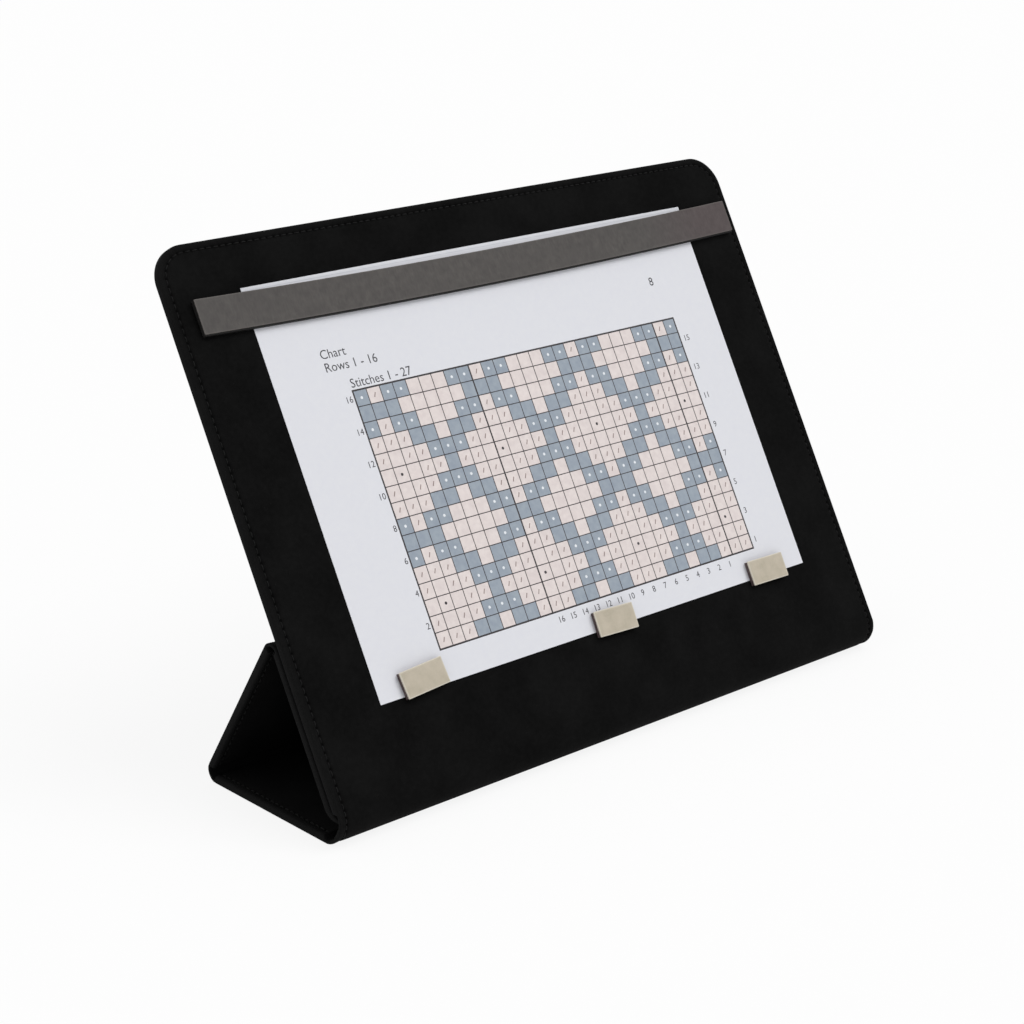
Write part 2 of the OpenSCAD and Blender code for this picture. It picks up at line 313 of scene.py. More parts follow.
def lining_material():
    """The smoother black microfibre on the panels' inner faces."""
    f = Finish("lining", roughness=0.9, specular=0.05, sheen=0.005, sheen_roughness=0.4)
    cloth = f.mottle(18, 3, linear(7, 7, 7), linear(13, 13, 13), low=0.35)
    # Paler near the edges: rubbed cloth and a painted highlight.
    rub_and_highlight = f.math("MULTIPLY", f.attribute("wear_and_highlight"), 0.6)
    f.colour(rubbed_highlit_and_hole_shaded_cloth(f, cloth, rub_and_highlight, linear(22, 22, 22)))
    f.bump(f.noise(0.3, detail=1), 0.06, 0.5)
    return f.material


def thread_material():
    """Black sewing thread."""
    f = Finish("thread", roughness=0.75, specular=0.12)
    f.colour(f.mottle(1.2, 2, linear(12, 12, 12), linear(26, 26, 26)))
    f.bump(f.noise(0.25, stretch=(1, 0.3, 0.3)), 0.08, 0.7)
    return f.material


def paper_finish(name, light, dark):
    """Printed paper: the ink's tone over a faint cloudiness and fibre."""
    f = Finish(name, roughness=0.72, specular=0.25)
    f.colour(f.mottle(3.2, 4, light, dark))
    f.rough(f.ramp(f.noise(0.7), -0.5, 1.4))
    f.bump(f.noise(0.5, detail=3), 0.012, 0.5)
    return f.material


WARM_END = (0.115, 0.16)


def marker_face_material():
    """Grey laminate with a fine grain across the bar, warmer towards its right end."""
    f = Finish("marker_face", roughness=0.6, specular=0.2)
    streaks = f.ramp(f.noise(0.9, detail=4, stretch=(1, 0.3, 0.3)), 0.25, 0.75)
    spots = f.ramp(f.noise(4, detail=4), 0.3, 0.7)
    grain = f.math("ADD", f.math("MULTIPLY", streaks, 0.5), f.math("MULTIPLY", spots, 0.5))
    clouds = f.ramp(f.noise(17, detail=3), 0.32, 0.68)
    split = f.add("ShaderNodeSeparateXYZ", Vector=f.coords)
    right = f.ramp(split.outputs[0], *WARM_END)
    grey = f.mix(grain, linear(67, 64, 63), linear(91, 88, 85))
    grey = f.mix(f.math("MULTIPLY", clouds, 0.35), grey, linear(72, 69, 68))
    warm = f.mix(grain, linear(70, 62, 62), linear(88, 80, 80))
    body = f.mix(right, grey, warm)
    # Paler edges: rubbed laminate and a painted highlight.
    f.colour(f.mix(f.math("MULTIPLY", f.attribute("wear_and_highlight"), 0.55), body, linear(104, 100, 97)))
    f.rough(f.math("ADD", f.math("MULTIPLY", grain, 0.12), 0.54))
    f.bump(f.noise(0.8, detail=3, stretch=(1, 0.15, 0.15)), 0.05, 0.5)
    f.bump(f.noise(9, detail=2), 0.12, 0.35)
    return f.material


def rubber_material(name, dark, light):
    """Flexible magnet strip: matt filled rubber with a cut edge."""
    f = Finish(name, roughness=0.7, specular=0.3)
    f.colour(f.mottle(1.6, 3, dark, light))
    f.bump(f.noise(0.35, detail=2), 0.05, 0.6)
    return f.material


def clip_face_material():
    """Beige laminate, a little blotched, with paler edges that are rubbed and carry a painted
    highlight.
    """
    f = Finish("clip_face", roughness=0.5, specular=0.35)
    fine = f.ramp(f.noise(1.0, detail=2), 0.3, 0.7)
    blotch = f.mottle(6, 4, linear(176, 167, 149), linear(190, 180, 163))
    blotch = f.mix(f.math("MULTIPLY", fine, 0.25), blotch, linear(197, 188, 169))
    # Paler edges: rubbed laminate and a painted highlight.
    f.colour(f.mix(f.math("MULTIPLY", f.attribute("wear_and_highlight"), 0.8), blotch, linear(214, 208, 194)))
    f.bump(f.noise(0.8, detail=3), 0.04, 0.5)
    return f.material


def greyboard_material():
    """The pressed board inside each stiff panel."""
    f = Finish("core_board", roughness=0.9, specular=0.2)
    f.colour(f.mottle(1.5, 4, linear(120, 115, 108), linear(146, 141, 132)))
    f.bump(f.noise(0.6, detail=3), 0.1, 0.6)
    return f.material


def foam_material():
    """The padding over the steel sheet."""
    f = Finish("padding", roughness=0.95, specular=0.1)
    f.colour(f.mottle(0.9, 2, linear(58, 58, 60), linear(88, 88, 90), low=0.35, high=0.65))
    f.bump(f.noise(0.7, detail=1), 0.2, 0.8)
    return f.material


def steel_material():
    """The thin steel sheet, brushed along x."""
    f = Finish("steel", roughness=0.35, metallic=1.0)
    brush = f.ramp(f.noise(0.6, detail=3, stretch=(0.02, 1, 1)), 0.3, 0.7)
    f.colour(f.mix(brush, linear(158, 160, 163), linear(186, 188, 190)))
    f.rough(f.math("ADD", f.math("MULTIPLY", brush, 0.15), 0.28))
    return f.material


def nickel_material():
    """The plated latch magnets."""
    f = Finish("latch_magnet", roughness=0.22, metallic=1.0)
    blotch = f.ramp(f.noise(3, detail=3), 0.3, 0.7)
    f.colour(f.mix(blotch, linear(176, 172, 164), linear(202, 198, 190)))
    f.rough(f.math("ADD", f.math("MULTIPLY", blotch, 0.12), 0.18))
    return f.material


suede = suede_material()
lining = lining_material()
thread = thread_material()
paper = paper_finish("paper", linear(224, 225, 230), linear(222, 223, 229))
ink_pink = paper_finish("print_pink", linear(230, 220, 217), linear(219, 208, 206))
ink_blue = paper_finish("print_blue", linear(158, 168, 178), linear(146, 156, 169))
ink_line = paper_finish("print_line", linear(62, 58, 60), linear(50, 47, 49))
ink_dark = paper_finish("print_dark", linear(70, 66, 68), linear(58, 55, 58))
ink_text = paper_finish("print_text", linear(76, 76, 80), linear(66, 66, 70))
ink_pale = paper_finish("print_pale", linear(211, 213, 219), linear(205, 207, 213))
ink_white = paper_finish("print_white", linear(236, 239, 242), linear(226, 231, 236))
ink_brown = paper_finish("print_brown", linear(150, 132, 128), linear(134, 117, 114))


# ---------------------------------------------------------------- mesh helpers

SHARP_ANGLE = math.radians(42)


def make_object(name, points, faces, materials, body=None, face_materials=None):
    """A mesh object from points in metres, with its normals made to point outwards."""
    mesh = bpy.data.meshes.new(name)
    mesh.from_pydata([tuple(p) for p in points], [], [tuple(f) for f in faces])
    if face_materials is not None:
        mesh.polygons.foreach_set("material_index", face_materials)
    bm = bmesh.new()
    bm.from_mesh(mesh)
    bmesh.ops.recalc_face_normals(bm, faces=bm.faces)
    bm.to_mesh(mesh)
    bm.free()
    mesh.shade_smooth()
    mesh.set_sharp_from_angle(angle=SHARP_ANGLE)
    obj = bpy.data.objects.new(name, mesh)
    bpy.context.scene.collection.objects.link(obj)
    for material in materials if isinstance(materials, list) else [materials]:
        mesh.materials.append(material)
    if body:
        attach(obj, body)
    return obj


def set_shares(obj, name, values):
    """Stores a share from 0 to 1 for each point, such as how rubbed it is and how much painted
    highlight it gets.
    """
    attribute = obj.data.attributes.new(name, "FLOAT", "POINT")
    attribute.data.foreach_set("value", np.asarray(values, np.float32))


def grid_faces(rows, columns, closed=False):
    """Quads of points stored row by row. closed joins the last column to the first."""
    faces = []
    for r in range(rows - 1):
        for c in range(columns if closed else columns - 1):
            d = (c + 1) % columns
            near, far = r * columns, (r + 1) * columns
            faces.append((near + c, near + d, far + d, far + c))
    return faces


def closed_tube(rings, sides):
    """The faces of a tube stored ring by ring, with both ends closed."""
    last = (rings - 1) * sides
    caps = [tuple(range(sides)), tuple(last + k for k in range(sides))]
    return grid_faces(rings, sides, closed=True) + caps


def shifted(faces, start):
    """Faces of a shape whose points come after start others."""
    return [tuple(start + k for k in face) for face in faces]


# ---------------------------------------------------------------- sections of the cloth

STITCH_PITCH = 4.0
SEAM_INSET = 4.0
SEAM_DEPTH = 0.52
SEAM_NARROW = 0.75
SEAM_WIDE = 1.9
PUCKER = 0.34
HOLE_SIZE = 0.95
CLOTH = 0.8
HEM_STEP = 0.14
HEM_WIDTH = 1.5
LINING_ROUND = 0.25
ROUND_OUT = 1.15
ROUND_IN = 1.0
ROUND_STEPS = 6
IN_SHARE = 0.45
OUT_SHARE = 0.5
SIDE_GAP_DEG = 8
NEAR_SHARE = 0.6
WIDE_SHARE = 0.3
# How far in from an edge the rubbing and the painted highlight reach.
WEAR_AND_HIGHLIGHT_REACH = 2.0
FACE_INSETS = (2.5, 2.9, 3.2, 3.5, 3.75, 4.0, 4.25, 4.5, 4.8, 5.2, 5.8, 6.8, 8.0, 9.5)
DEEPEST = FACE_INSETS[-1]


def seam_height(inset, run, pitch):
    """The pressed groove along a row of stitches, deepest at each needle hole."""
    near = np.exp(-((inset - SEAM_INSET) / SEAM_NARROW) ** 2)
    wide = np.exp(-((inset - SEAM_INSET) / SEAM_WIDE) ** 2)
    hole = 0.5 + 0.5 * np.cos(2 * math.pi * np.asarray(run) / pitch)
    return -SEAM_DEPTH * (NEAR_SHARE * near + WIDE_SHARE * wide) - PUCKER * near * hole


def hole_share(inset, run, pitch):
    """How much painted shade a needle hole gets: 1 at its middle, falling to 0 round it."""
    beside = np.exp(-((inset - SEAM_INSET) / HOLE_SIZE) ** 2)
    off = np.abs((np.asarray(run) / pitch + 0.5) % 1 - 0.5) * pitch
    return beside * np.exp(-(off / HOLE_SIZE) ** 2)


def quarter(radius, start, end):
    """Insets and heights of a quarter round, between two angles in degrees."""
    angles = np.radians(np.linspace(start, end, ROUND_STEPS))
    return [(radius * (1 - math.cos(a)), radius * math.sin(a)) for a in angles]


def face_part():
    """The rows of points from the rounded edge inwards, over the seam."""
    return [(inset, 0.0, 1) for inset in FACE_INSETS]


def wrap_part(thick, step):
    """The rounded edge from the inner face to the outer one."""
    r_in = min(ROUND_IN, thick * IN_SHARE)
    r_out = min(ROUND_OUT, thick * OUT_SHARE)
    low = [(i, -thick + step + r_in + h, 0) for i, h in quarter(r_in, -90, -SIDE_GAP_DEG)]
    return low + [(i, h - r_out, 0) for i, h in quarter(r_out, SIDE_GAP_DEG, 90)]


def cover_section(thick, face_cloth=CLOTH, hem_cloth=CLOTH):
    """Cloth wrapped round a board: its outside from the hem to the face, then its inside back."""
    outside = [(HEM_WIDTH, HEM_STEP - thick, 0)] + wrap_part(thick, HEM_STEP) + face_part()
    under, hem = -face_cloth, hem_cloth - thick
    inside = [(DEEPEST, under, 0), (CLOTH, under, 0), (CLOTH, hem, 0), (HEM_WIDTH, hem, 0)]
    return outside, inside


def lining_section():
    """A lining laid inside the hem: heights are from its own face."""
    edge = [(HEM_WIDTH + i, h - LINING_ROUND, 0) for i, h in quarter(LINING_ROUND, 0, 90)]
    return [(HEM_WIDTH, -CLOTH, 0)] + edge + face_part(), [(DEEPEST, -CLOTH, 0)]


def fold_section(thick):
    """A solid strip with rounded edges."""
    return wrap_part(thick, 0) + face_part(), []


def wear_and_highlight_of(inset):
    """The nap is rubbed where the cloth turns over an edge, and a highlight is painted there."""
    return float(np.clip(1 - inset / WEAR_AND_HIGHLIGHT_REACH, 0, 1))


# ---------------------------------------------------------------- panels with two round corners

FINE_STEP = 1.0


class Outline:
    """The left side, far end and right side of a panel with two round far corners."""

    def __init__(self, width, length, radius):
        self.width, self.length, self.radius = width, length, radius
        n_side = round((length - radius) / FINE_STEP)
        n_arc = round((radius - SEAM_INSET) * math.pi / 2 / FINE_STEP)
        n_top = round((width - 2 * radius) / FINE_STEP)
        self.side = np.linspace(0, length - radius, n_side + 1)
        self.arc = np.linspace(0, math.pi / 2, n_arc + 1)[1:]
        self.top = np.linspace(radius, width - radius, n_top + 1)[1:-1]
        self.seam = self.ring(SEAM_INSET)
        steps = np.linalg.norm(np.diff(self.seam, axis=0), axis=1)
        self.run = np.concatenate([[0], np.cumsum(steps)])
        self.marks = np.linspace(0, self.run[-1], round(self.run[-1] / STITCH_PITCH) + 1)
        self.pitch = self.marks[1]

    def ring(self, inset):
        """Points (x, u) at a distance inside the edge, from near left to near right."""
        r, far = self.radius - inset, self.length - self.radius
        left = [(inset, u) for u in self.side]
        left += [(self.radius - r * math.cos(a), far + r * math.sin(a)) for a in self.arc]
        top = [(x, self.length - inset) for x in self.top]
        return np.array(left + top + [(self.width - x, u) for x, u in reversed(left)])

    def seams(self):
        """The places of the needle holes, as one line of points."""
        holes = [np.interp(self.marks, self.run, self.seam[:, k]) for k in (0, 1)]
        return [np.column_stack(holes)]


def rounded_panel(name, plane, radius, section, z_face, flip, material, body):
    """A closed cover or lining. flip turns its face to the panel's inner side."""
    outline = Outline(plane.width, plane.length, radius)
    outside, inside = section
    points, wear_and_highlight, holes = [], [], []
    for inset, height, on_face in outside + inside:
        ring = outline.ring(inset)
        z = height + seam_height(inset, outline.run, outline.pitch) * on_face
        points.append(np.column_stack([ring, z_face + (-z if flip else z)]))
        wear_and_highlight += [wear_and_highlight_of(inset)] * len(ring)
        holes += list(hole_share(inset, outline.run, outline.pitch) * on_face)
    m, n, total = len(points[0]), len(outside), len(points)
    faces = [f for r in range(total) if r != n - 1 for f in ring_band(r, (r + 1) % total, m)]
    faces.append(tuple((n - 1) * m + k for k in range(m)))
    faces.append(tuple(n * m + k for k in range(m)))
    lefts, rights = [r * m for r in range(total)], [r * m + m - 1 for r in range(total)]
    faces.append(tuple(lefts[:n] + rights[:n][::-1] + rights[n:][::-1] + lefts[n:]))
    obj = make_object(name, plane.place(np.vstack(points)), faces, material, body)
    set_shares(obj, "wear_and_highlight", wear_and_highlight)
    set_shares(obj, "hole", holes)
    return obj


def ring_band(a, b, count):
    """Quads between two open rings."""
    a, b = a * count, b * count
    return [(a + k, a + k + 1, b + k + 1, b + k) for k in range(count - 1)]


# ---------------------------------------------------------------- strips with two plain ends

def across(width, section):
    """A section carried across a strip's whole width, closed: (x, height, inset, on_face)."""
    outside, inside = section
    left = [(i, h, i, f) for i, h, f in outside]
    right = [(width - x, h, i, f) for x, h, i, f in reversed(left)]
    under = [(i, h, i, f) for i, h, f in inside[1:]]
    return left + right + [(width - x, h, i, f) for x, h, i, f in under] + under[::-1]


def strip_marks(length):
    """The needle holes along a strip's edge."""
    return np.linspace(0, length, max(1, round(length / STITCH_PITCH)) + 1)


def strip_seams(width, length):
    """The needle holes along a strip's two edges."""
    marks = strip_marks(length)
    sides = SEAM_INSET, width - SEAM_INSET
    return [np.column_stack([np.full(len(marks), x), marks]) for x in sides]


def strip(
    name, width, length, sections, runs, place, material, body=None, z_face=0.0, flip=False
):
    """A closed strip lofted through one section at each run along it."""
    pitch = strip_marks(length)[1]
    points, wear_and_highlight, holes = [], [], []
    for section, run in zip(sections, runs):
        for x, height, inset, on_face in across(width, section):
            z = height + (float(seam_height(inset, run, pitch)) if on_face else 0.0)
            points.append((x, run, z_face + (-z if flip else z)))
            wear_and_highlight.append(wear_and_highlight_of(inset))
            holes.append(float(hole_share(inset, run, pitch)) * on_face)
    faces = closed_tube(len(runs), len(points) // len(runs))
    obj = make_object(name, place(np.array(points)), faces, material, body)
    set_shares(obj, "wear_and_highlight", wear_and_highlight)
    set_shares(obj, "hole", holes)
    return obj


def straight_panel(name, plane, section, z_face, flip, material, body):
    """A strip that lies flat in a panel's plane."""
    runs = np.linspace(0, plane.length, round(plane.length / FINE_STEP) + 1)
    return strip(
        name, plane.width, plane.length, [section] * len(runs), runs, plane.place,
        material, body, z_face, flip,
    )


ARC_STEP = 0.45
ARC_LEAST = 9
TAPER_REACH = 2.6


def arc_runs(arc):
    """The places along a bent strip where it has a section."""
    return np.linspace(0, arc.length, max(ARC_LEAST, round(arc.length / ARC_STEP) + 1))


def fold_piece(name, arc, start_thick, end_thick, blend_depth, node):
    """The cloth of a fold, which thins from the panels' thickness towards its middle."""
    runs = arc_runs(arc)
    sections = []
    for run in runs:
        a = max(0.0, 1 - run / TAPER_REACH) ** 2
        b = max(0.0, 1 - (arc.length - run) / TAPER_REACH) ** 2
        thick = FOLD_THICK + (start_thick - FOLD_THICK) * a + (end_thick - FOLD_THICK) * b
        sections.append(fold_section(thick))
    obj = strip(name, board.width, arc.length, sections, runs, arc.place, suede)
    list(arc.ends(blend_depth))
    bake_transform(obj)
    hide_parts(node)
    return obj


# ---------------------------------------------------------------- stitches

THREAD_RADIUS = 0.3
THREAD_DEPTH = 0.32
THREAD_DIP = 0.42
THREAD_RINGS = 7
THREAD_SIDES = 8
STITCH_SHARE = 0.72
THREAD_TAPER = 0.35


def stitch_tubes(seams, z_face, flip):
    """Short tubes that dive into the cloth at both ends: points (x, u, z) and faces."""
    points, faces = [], []
    steps = np.linspace(-1, 1, THREAD_RINGS)
    angles = np.arange(THREAD_SIDES) * 2 * math.pi / THREAD_SIDES
    tube = closed_tube(THREAD_RINGS, THREAD_SIDES)
    for seam in seams:
        for a, b in zip(seam[:-1], seam[1:]):
            middle, half = (a + b) / 2, (b - a) / 2 * STITCH_SHARE
            side = np.array([-half[1], half[0]]) / np.hypot(*half)
            start = len(points)
            for t in steps:
                radius = THREAD_RADIUS * (1 - THREAD_TAPER * t ** 4)
                depth = -THREAD_DEPTH - THREAD_DIP * abs(t) ** 3
                for angle in angles:
                    x, u = middle + half * t + side * radius * math.cos(angle)
                    z = depth + radius * math.sin(angle)
                    points.append((x, u, z_face + (-z if flip else z)))
            faces += shifted(tube, start)
    return points, faces


def stitching(name, seams, place, z_faces, body=None, node=None):
    """The stitches of a panel or fold. z_faces has (height, flip) for each face they show on."""
    points, faces = [], []
    for z_face, flip in z_faces:
        more, links = stitch_tubes(seams, z_face, flip)
        faces += shifted(links, len(points))
        points += more
    obj = make_object(name, place(np.array(points)), faces, thread, body)
    if node:
        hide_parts(node)
    return obj


# ---------------------------------------------------------------- the cover's panels and folds

def both_faces(plane):
    """A panel's outer and inner faces, as a height and whether the face is flipped."""
    return [(0.0, False), (-plane.thick, True)]


def make_round(word, plane, radius, inner_word, outer_node, inner_node):
    """A panel with two round corners: its cover, its inner cloth and its stitches."""
    cover = rounded_panel(
        word + "_cover_cloth", plane, radius, cover_section(plane.thick), 0.0, False, suede, word
    )
    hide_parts(outer_node)
    inner = rounded_panel(
        inner_word, plane, radius, lining_section(), -plane.thick, True, lining, word
    )
    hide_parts(inner_node)
    seams = Outline(plane.width, plane.length, radius).seams()
    stitching(word + "_stitches", seams, plane.place, both_faces(plane), word, word + "_stitching")


def make_straight(word, plane, body):
    """A panel between two folds: its cover, its lining and its stitches."""
    section, inner_section = cover_section(plane.thick), lining_section()
    cover = straight_panel(word + "_cover_cloth", plane, section, 0.0, False, suede, body)
    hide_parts(word + "_outer_cover")
    inner = straight_panel(
        word + "_lining_cloth", plane, inner_section, -plane.thick, True, lining, body
    )
    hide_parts(word + "_lining")
    seams = strip_seams(plane.width, plane.length)
    stitching(word + "_stitches", seams, plane.place, both_faces(plane), body, word + "_stitching")


def make_spine():
    """The curved spine between the two front folds. Returns how thick it is."""
    thick = arc_thickness("spine_outer_cover", FRONT_CENTRE)
    core = arc_thickness("spine_stiffener", FRONT_CENTRE)
    inner = arc_thickness("spine_lining", FRONT_CENTRE)
    whole = thick + core + inner
    runs = arc_runs(spine_arc)

    def piece(name, section, z_face, flip, material, node):
        obj = strip(
            name, board.width, spine_arc.length, [section] * len(runs), runs, spine_arc.place,
            material, "spine", z_face, flip,
        )
        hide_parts(node)

    cover = cover_section(whole, thick, inner)
    piece("spine_cover_cloth", cover, 0.0, False, suede, "spine_outer_cover")
    piece("spine_lining_cloth", lining_section(), -whole, True, lining, "spine_lining")
    slab = [(CLOTH, -thick - core, 0), (CLOTH, -thick, 0), (DEEPEST, -thick, 0)]
    piece("spine_board", (slab, []), 0.0, False, greyboard, "spine_stiffener")
    seams = strip_seams(board.width, spine_arc.length)
    stitching("spine_stitches", seams, spine_arc.place, [(0.0, False)], "spine")
    return whole


def make_folds(spine_thick):
    """Each fold: its arc, its thickness at both ends, its bodies and its blend's depth."""
    folds = [
        ("front_upper", upper_arc, board.thick, spine_thick, ("board", "spine"), board.thick),
        ("front_lower", lower_arc, spine_thick, base.thick, ("spine", "base_panel"), base.thick),
        ("rear", rear_arc, base.thick, rear.thick, ("base_panel", "rear_panel"), FOLD_THICK),
        ("top", top_arc, rear.thick, flap.thick, ("rear_panel", "flap"), FOLD_THICK),
    ]
    for word, arc, start, end, bodies, depth in folds:
        fold_piece(word + "_fold_cloth", arc, start, end, depth, word + "_fold")
        seams = strip_seams(board.width, arc.length)
        thread_piece = stitching(word + "_fold_stitches", seams, arc.place, [(0.0, False)])
        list(arc.ends(depth))
        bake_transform(thread_piece)


# ---------------------------------------------------------------- magnets

class Bar:
    """A rectangular CAD node lying on the board: its middle, sides and heights.

    bow is how far its middle sags below its ends. lip is how far it reaches past its lower side.
    """

    def __init__(self, node, bow=0.0, lip=0.0):
        self.bow, self.lip = bow, lip
        p = board.local(node)
        corners = np.unique(np.round(p[:, :2], 2), axis=0)
        self.middle = corners.mean(0)
        spokes = corners - self.middle
        order = np.argsort(np.arctan2(spokes[:, 1], spokes[:, 0]))
        a, b, c, d = spokes[order]
        half_long = max((b + c - a - d) / 4, (a + b - c - d) / 4, key=lambda half: abs(half[0]))
        half_long *= math.copysign(1, half_long[0])
        self.length = 2 * float(np.hypot(*half_long))
        self.ahead = unit(half_long)
        self.aside = np.array([-self.ahead[1], self.ahead[0]])
        self.height = 2 * float(np.abs(spokes @ self.aside).max())
        self.low, self.high = float(p[:, 2].min()), float(p[:, 2].max())

    def place(self, points):
        """Points (along, aside, z) from the bar's middle, as metres in the row frame."""
        p = np.array(points, float)
        p[p[:, 1] < 0, 1] -= self.lip
        p[:, 1] -= self.bow * (1 - (2 * p[:, 0] / self.length) ** 2)
        flat = self.middle + np.outer(p[:, 0], self.ahead) + np.outer(p[:, 1], self.aside)
        return board.place(np.column_stack([flat, p[:, 2]]))


CORNER_STEPS = 4
SIDE_STEP = 4.0
LEAST_CORNER = 0.05
BAR_GAP_DEG = 10
MARKER_BOW = 2.4
MARKER_LIP = 0.75

# Each layer's inset from the CAD outline, edge round and corner round.
MARKER_FACE_CUT = (0.0, 0.22, 0.5)
MARKER_MAGNET_CUT = (0.12, 0.3, 0.4)
CLIP_FACE_CUT = (0.0, 0.26, 0.5)
CLIP_MAGNET_CUT = (0.25, 0.3, 0.4)

# How rubbed a layer is, and how strong the painted highlight on it is: low on its side, on its top
# edge, and at shares of the edge round inwards.
SIDE_RUB_AND_HIGHLIGHT = 0.2
EDGE_RUB_AND_HIGHLIGHT = 1.0
TOP_RUBS_AND_HIGHLIGHTS = ((2.2, 0.25), (4.0, 0.0))


def bar_ring(length, height, inset, corner):
    """A rectangle with small round corners and points along its long sides."""
    a, b, r = length / 2 - inset, height / 2 - inset, max(corner - inset, LEAST_CORNER)
    ring = []
    for quadrant, (sx, sy) in enumerate([(1, 1), (-1, 1), (-1, -1), (1, -1)]):
        for k in range(CORNER_STEPS + 1):
            angle = math.pi / 2 * (quadrant + k / CORNER_STEPS)
            ring.append((sx * (a - r) + r * math.cos(angle), sy * (b - r) + r * math.sin(angle)))
        if quadrant in (0, 2):
            count = max(2, round(length / SIDE_STEP))
            for x in np.linspace(sx * (a - r), -sx * (a - r), count + 1)[1:-1]:
                ring.append((x, sy * b))
    return ring


def bar_piece(name, bar, cut, material, body, node):
    """A slab with rounded edges. The round at the bottom is half of the one at the top."""
    inset, edge, corner = cut
    low, high = bar.low + edge / 2, bar.high - edge
    # The rubbing and painted highlight: a little on the side, full on the top edge's round, fading
    # inwards.
    rise = [(i, low + h, SIDE_RUB_AND_HIGHLIGHT) for i, h in quarter(edge / 2, -90, -BAR_GAP_DEG)]
    rise += [(i, high + h, EDGE_RUB_AND_HIGHLIGHT) for i, h in quarter(edge, BAR_GAP_DEG, 90)]
    rise += [(edge * share, bar.high, rub_and_highlight) for share, rub_and_highlight in TOP_RUBS_AND_HIGHLIGHTS]
    points, wear_and_highlight = [], []
    for i, z, rubbed_and_highlit in rise:
        ring = bar_ring(bar.length, bar.height, inset + i, corner)
        points += [(x, y, z) for x, y in ring]
        wear_and_highlight += [rubbed_and_highlit] * len(ring)
    faces = closed_tube(len(rise), len(points) // len(rise))
    obj = make_object(name, bar.place(points), faces, material, body)
    set_shares(obj, "wear_and_highlight", wear_and_highlight)
    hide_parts(node)
    return obj


def make_magnets():
    """The marker and the three small magnets, each a face on a flexible magnet."""
    bow, bow_lip = (MARKER_BOW,), (MARKER_BOW, MARKER_LIP)
    layers = [
        ("marker_face", "_strip", MARKER_FACE_CUT, marker_grey, "marker", bow),
        ("marker_magnet", "_strip", MARKER_MAGNET_CUT, marker_rubber, "marker", bow_lip),
    ]
    for body in ("left_clip", "middle_clip", "right_clip"):
        layers.append((body + "_face", "_tile", CLIP_FACE_CUT, clip_beige, body, ()))
        layers.append((body + "_magnet", "_tile", CLIP_MAGNET_CUT, clip_rubber, body, ()))
    for node, ending, cut, material, body, sag in layers:
        bar_piece(node + ending, Bar(node, *sag), cut, material, body, node)


# ---------------------------------------------------------------- the chart

CHART_COLUMNS = 27
CHART_ROWS = 16
CHART_LEFT = 43.3
CHART_LOW = 16.1
CHART_WIDE = 221.6
CHART_HIGH = 132.3
THIN_LINE = 0.48
HEAVY_LINE = 0.9
HEAVY_COLUMNS = (0, 9, 25, CHART_COLUMNS)
REPEAT_FIRST, REPEAT_LAST = 9, 25
MOTIF = 8
MOTIF_SHIFT = (3, 2)
STROKE_STEPS = (2, 3)
WHITE_DOT = 0.78
DARK_DOT = 0.8
STROKE = (0.6, 1.15, 0.26)
MARGIN_STEP = 10.0
SHEET_TRIM = 1.5
INK = 0.025
CELL_W = CHART_WIDE / CHART_COLUMNS
CELL_H = CHART_HIGH / CHART_ROWS
PLAIN, PINK, BLUE, LINE = range(4)


def motif_step(column, row):
    """How many cells a cell lies from the middle of its diamond."""
    half = MOTIF // 2
    across, up = (column + MOTIF_SHIFT[0]) % MOTIF, (row + MOTIF_SHIFT[1]) % MOTIF
    return abs(across - half) + abs(up - half)


def is_blue(column, row):
    """Bands of blue diamonds round pink ones, on a plain repeat."""
    return motif_step(column, row) in (MOTIF // 2, MOTIF // 2 + 1)


class Sheet:
    """The chart's sheet of paper, with x and y from its own lower left corner."""

    def __init__(self):
        p = board.local("chart_sheet")
        self.corner = p.min(0)
        self.size = np.ptp(p, axis=0)

    def place(self, points):
        return board.place(np.asarray(points, float) + self.corner)


def line_pairs(count, start, step, heavy):
    """Both edges of each grid line, in order."""
    pairs = []
    for k in range(count + 1):
        half = (HEAVY_LINE if k in heavy else THIN_LINE) / 2
        pairs += [start + k * step - half, start + k * step + half]
    return pairs


def with_margins(inner, size):
    """The grid's lines with the margins' own lines before and after them."""
    first, last = inner[0], inner[-1]
    before = list(np.linspace(0, first, round(first / MARGIN_STEP) + 1)[:-1])
    after = list(np.linspace(last, size, round((size - last) / MARGIN_STEP) + 1)[1:])
    return before + inner + after


def cell_tone(i, j, x_gaps, y_gaps):
    """What is printed between two lines across and two lines up, counted from the grid's corner."""
    if not (0 <= i < x_gaps and 0 <= j < y_gaps):
        return PLAIN
    if i % 2 == 0 or j % 2 == 0:
        return LINE
    return BLUE if is_blue(i // 2, j // 2) else PINK


